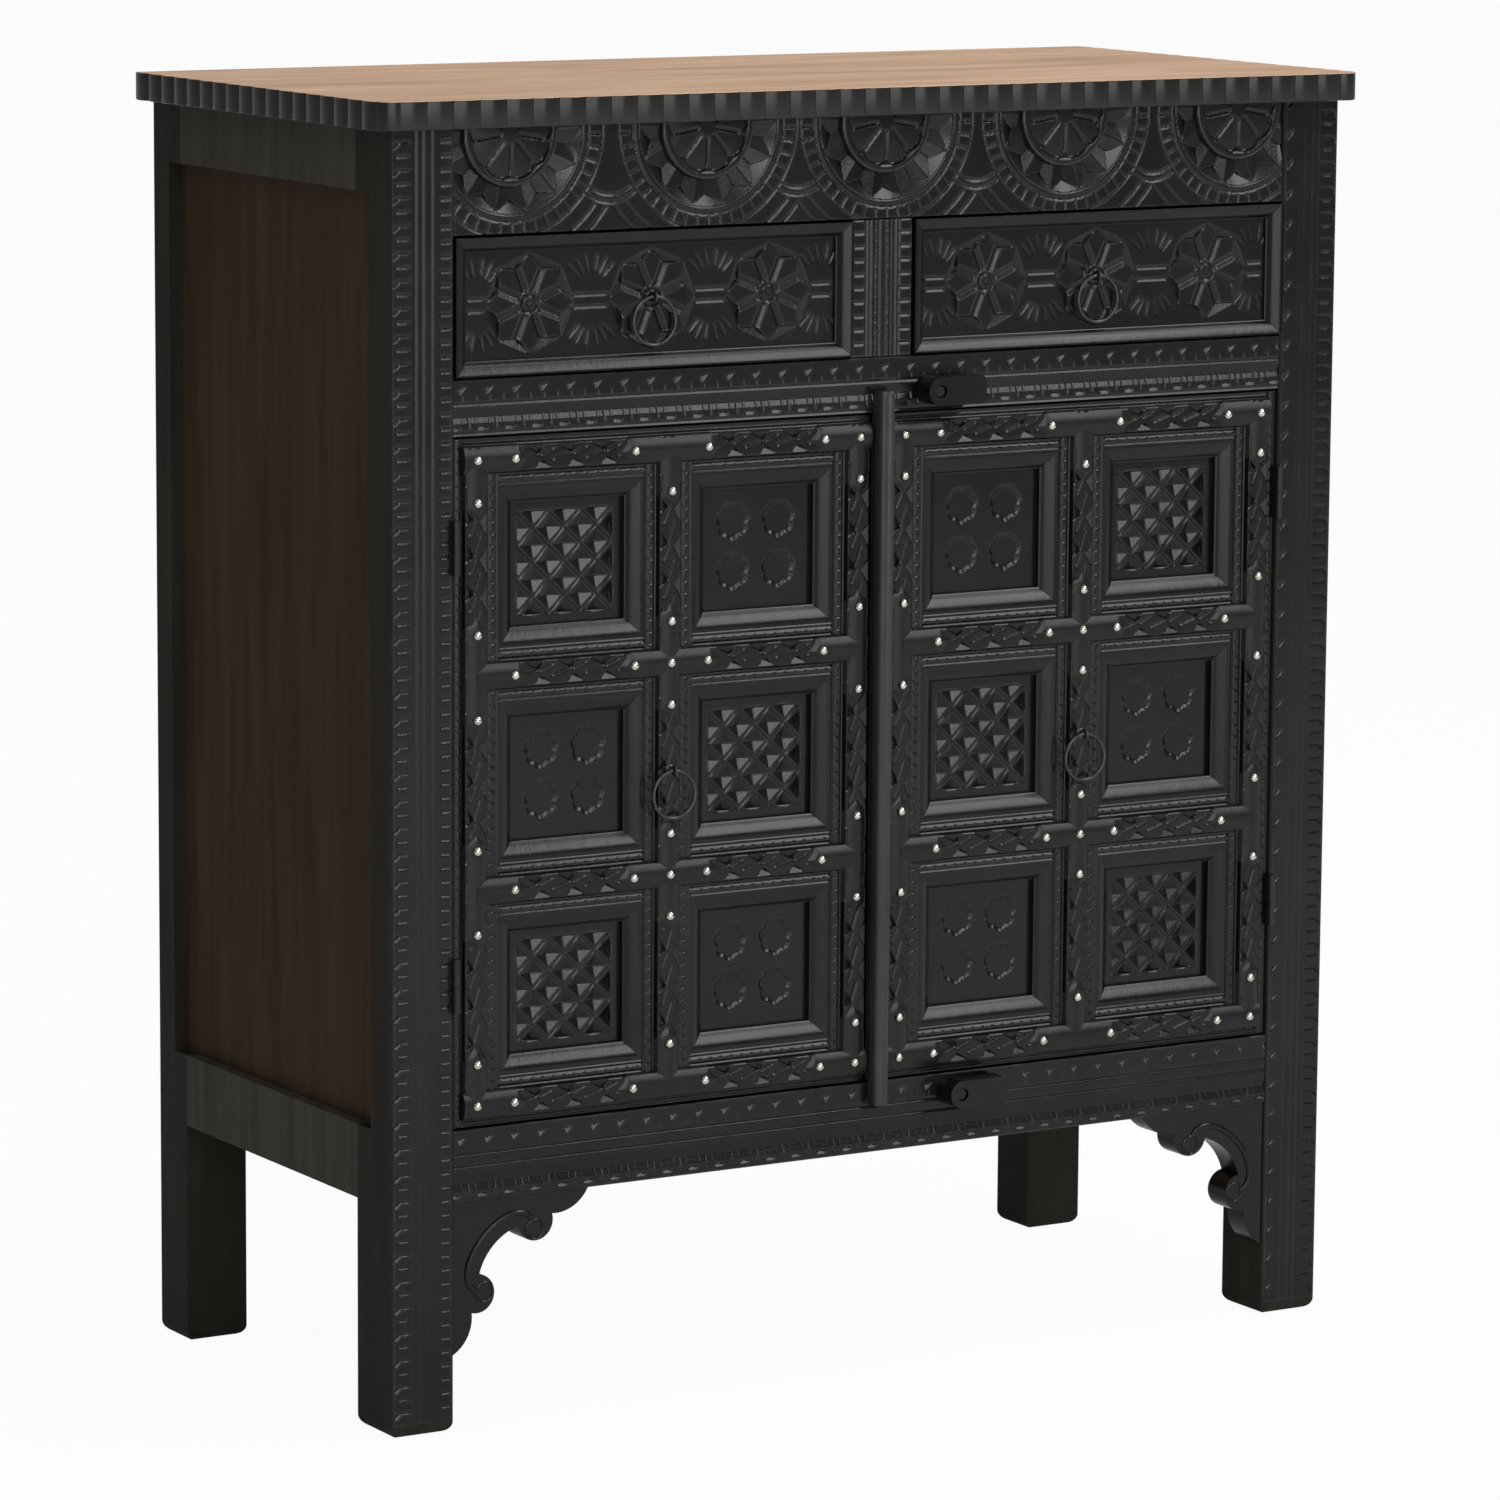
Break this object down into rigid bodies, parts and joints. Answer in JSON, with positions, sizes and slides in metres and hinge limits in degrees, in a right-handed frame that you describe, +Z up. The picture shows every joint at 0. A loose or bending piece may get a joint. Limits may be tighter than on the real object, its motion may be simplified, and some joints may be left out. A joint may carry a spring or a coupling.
{
  "type": "carved cabinet with drawers over doors",
  "caption": "Black carved wooden cabinet on square posts: drawers over panelled double doors with ring pulls, studded straps and turning catches, under a reeded plank top.",
  "frame": {"origin": "on the floor, under the middle of the bounding box", "axes": "+Z up, +X to the right seen from the front, the front faces -Y"},
  "size_m": [0.9, 0.422, 1.025],
  "materials": {
    "black_wood": "worn black paint on carved wood, satin",
    "side_wood": "thin brown-black stain, satin",
    "top_wood": "oiled pale wood, matt",
    "inside_wood": "plain sawn wood",
    "iron": "black iron",
    "stud_metal": "bright worn nail heads"
  },
  "bodies": {
    "carcass": {"back_panel": "side_wood", "bottom_board": "inside_wood", "bottom_rail": "black_wood", "catch_screws": "stud_metal", "drawer_divider": "black_wood", "drawer_runners": "inside_wood", "dust_board": "inside_wood", "frieze_board": "black_wood", "hinge_post_leaves": "iron", "left_bracket": "black_wood", "left_front_post": "black_wood", "left_rear_post": "side_wood", "left_side_panel": "side_wood", "mid_rail": "black_wood", "rear_rails": "side_wood", "right_bracket": "black_wood", "right_front_post": "black_wood", "right_rear_post": "side_wood", "right_side_panel": "side_wood", "shelf": "inside_wood", "shelf_cleats": "inside_wood", "side_rails": "side_wood", "top_board": "top_wood"},
    "left_door": {"left_door_battens": "black_wood", "left_door_eye": "iron", "left_door_hinge_leaves": "iron", "left_door_panels": "black_wood", "left_door_rails": "black_wood", "left_door_stiles": "black_wood", "left_door_straps": "iron", "left_door_studs": "stud_metal"},
    "left_door_pull": {"left_door_ring": "iron"},
    "left_drawer": {"left_drawer_back": "inside_wood", "left_drawer_bottom": "inside_wood", "left_drawer_eye": "iron", "left_drawer_front": "black_wood", "left_drawer_panel": "black_wood", "left_drawer_sides": "inside_wood"},
    "left_drawer_pull": {"left_drawer_ring": "iron"},
    "right_door": {"meeting_strip": "black_wood", "right_door_battens": "black_wood", "right_door_eye": "iron", "right_door_hinge_leaves": "iron", "right_door_panels": "black_wood", "right_door_rails": "black_wood", "right_door_stiles": "black_wood", "right_door_straps": "iron", "right_door_studs": "stud_metal"},
    "right_door_pull": {"right_door_ring": "iron"},
    "right_drawer": {"right_drawer_back": "inside_wood", "right_drawer_bottom": "inside_wood", "right_drawer_eye": "iron", "right_drawer_front": "black_wood", "right_drawer_panel": "black_wood", "right_drawer_sides": "inside_wood"},
    "right_drawer_pull": {"right_drawer_ring": "iron"},
    "top_turn_catch": {"top_catch": "black_wood"},
    "bottom_turn_catch": {"bottom_catch": "black_wood"}
  },
  "joints": [
    {"name": "left_door_hinge", "type": "hinge", "parent": "carcass", "child": "left_door", "pos_m": [-0.37925, -0.1932, 0.52], "axis": [0, 0, -1], "range_deg": [0, 115]},
    {"name": "left_drawer_slide", "type": "slide", "parent": "carcass", "child": "left_drawer", "axis": [0, -1, 0], "range_m": [0, 0.26]},
    {"name": "left_door_pull_swing", "type": "hinge", "parent": "left_door", "child": "left_door_pull", "pos_m": [-0.1905, -0.19815, 0.503], "axis": [-1, 0, 0], "range_deg": [0, 100]},
    {"name": "left_drawer_pull_swing", "type": "hinge", "parent": "left_drawer", "child": "left_drawer_pull", "pos_m": [-0.20375, -0.18715, 0.8695], "axis": [-1, 0, 0], "range_deg": [0, 100]},
    {"name": "right_door_hinge", "type": "hinge", "parent": "carcass", "child": "right_door", "pos_m": [0.37925, -0.1932, 0.52], "axis": [0, 0, 1], "range_deg": [0, 115]},
    {"name": "right_drawer_slide", "type": "slide", "parent": "carcass", "child": "right_drawer", "axis": [0, -1, 0], "range_m": [0, 0.26]},
    {"name": "right_door_pull_swing", "type": "hinge", "parent": "right_door", "child": "right_door_pull", "pos_m": [0.1905, -0.19815, 0.503], "axis": [-1, 0, 0], "range_deg": [0, 100]},
    {"name": "right_drawer_pull_swing", "type": "hinge", "parent": "right_drawer", "child": "right_drawer_pull", "pos_m": [0.20375, -0.18715, 0.8695], "axis": [-1, 0, 0], "range_deg": [0, 100]},
    {"name": "top_catch_turn", "type": "hinge", "parent": "carcass", "child": "top_turn_catch", "pos_m": [0.042, -0.189, 0.787], "axis": [0, 1, 0], "range_deg": [0, 45]},
    {"name": "bottom_catch_turn", "type": "hinge", "parent": "carcass", "child": "bottom_turn_catch", "pos_m": [0.07, -0.189, 0.223], "axis": [0, -1, 0], "range_deg": [0, 90]}
  ]
}
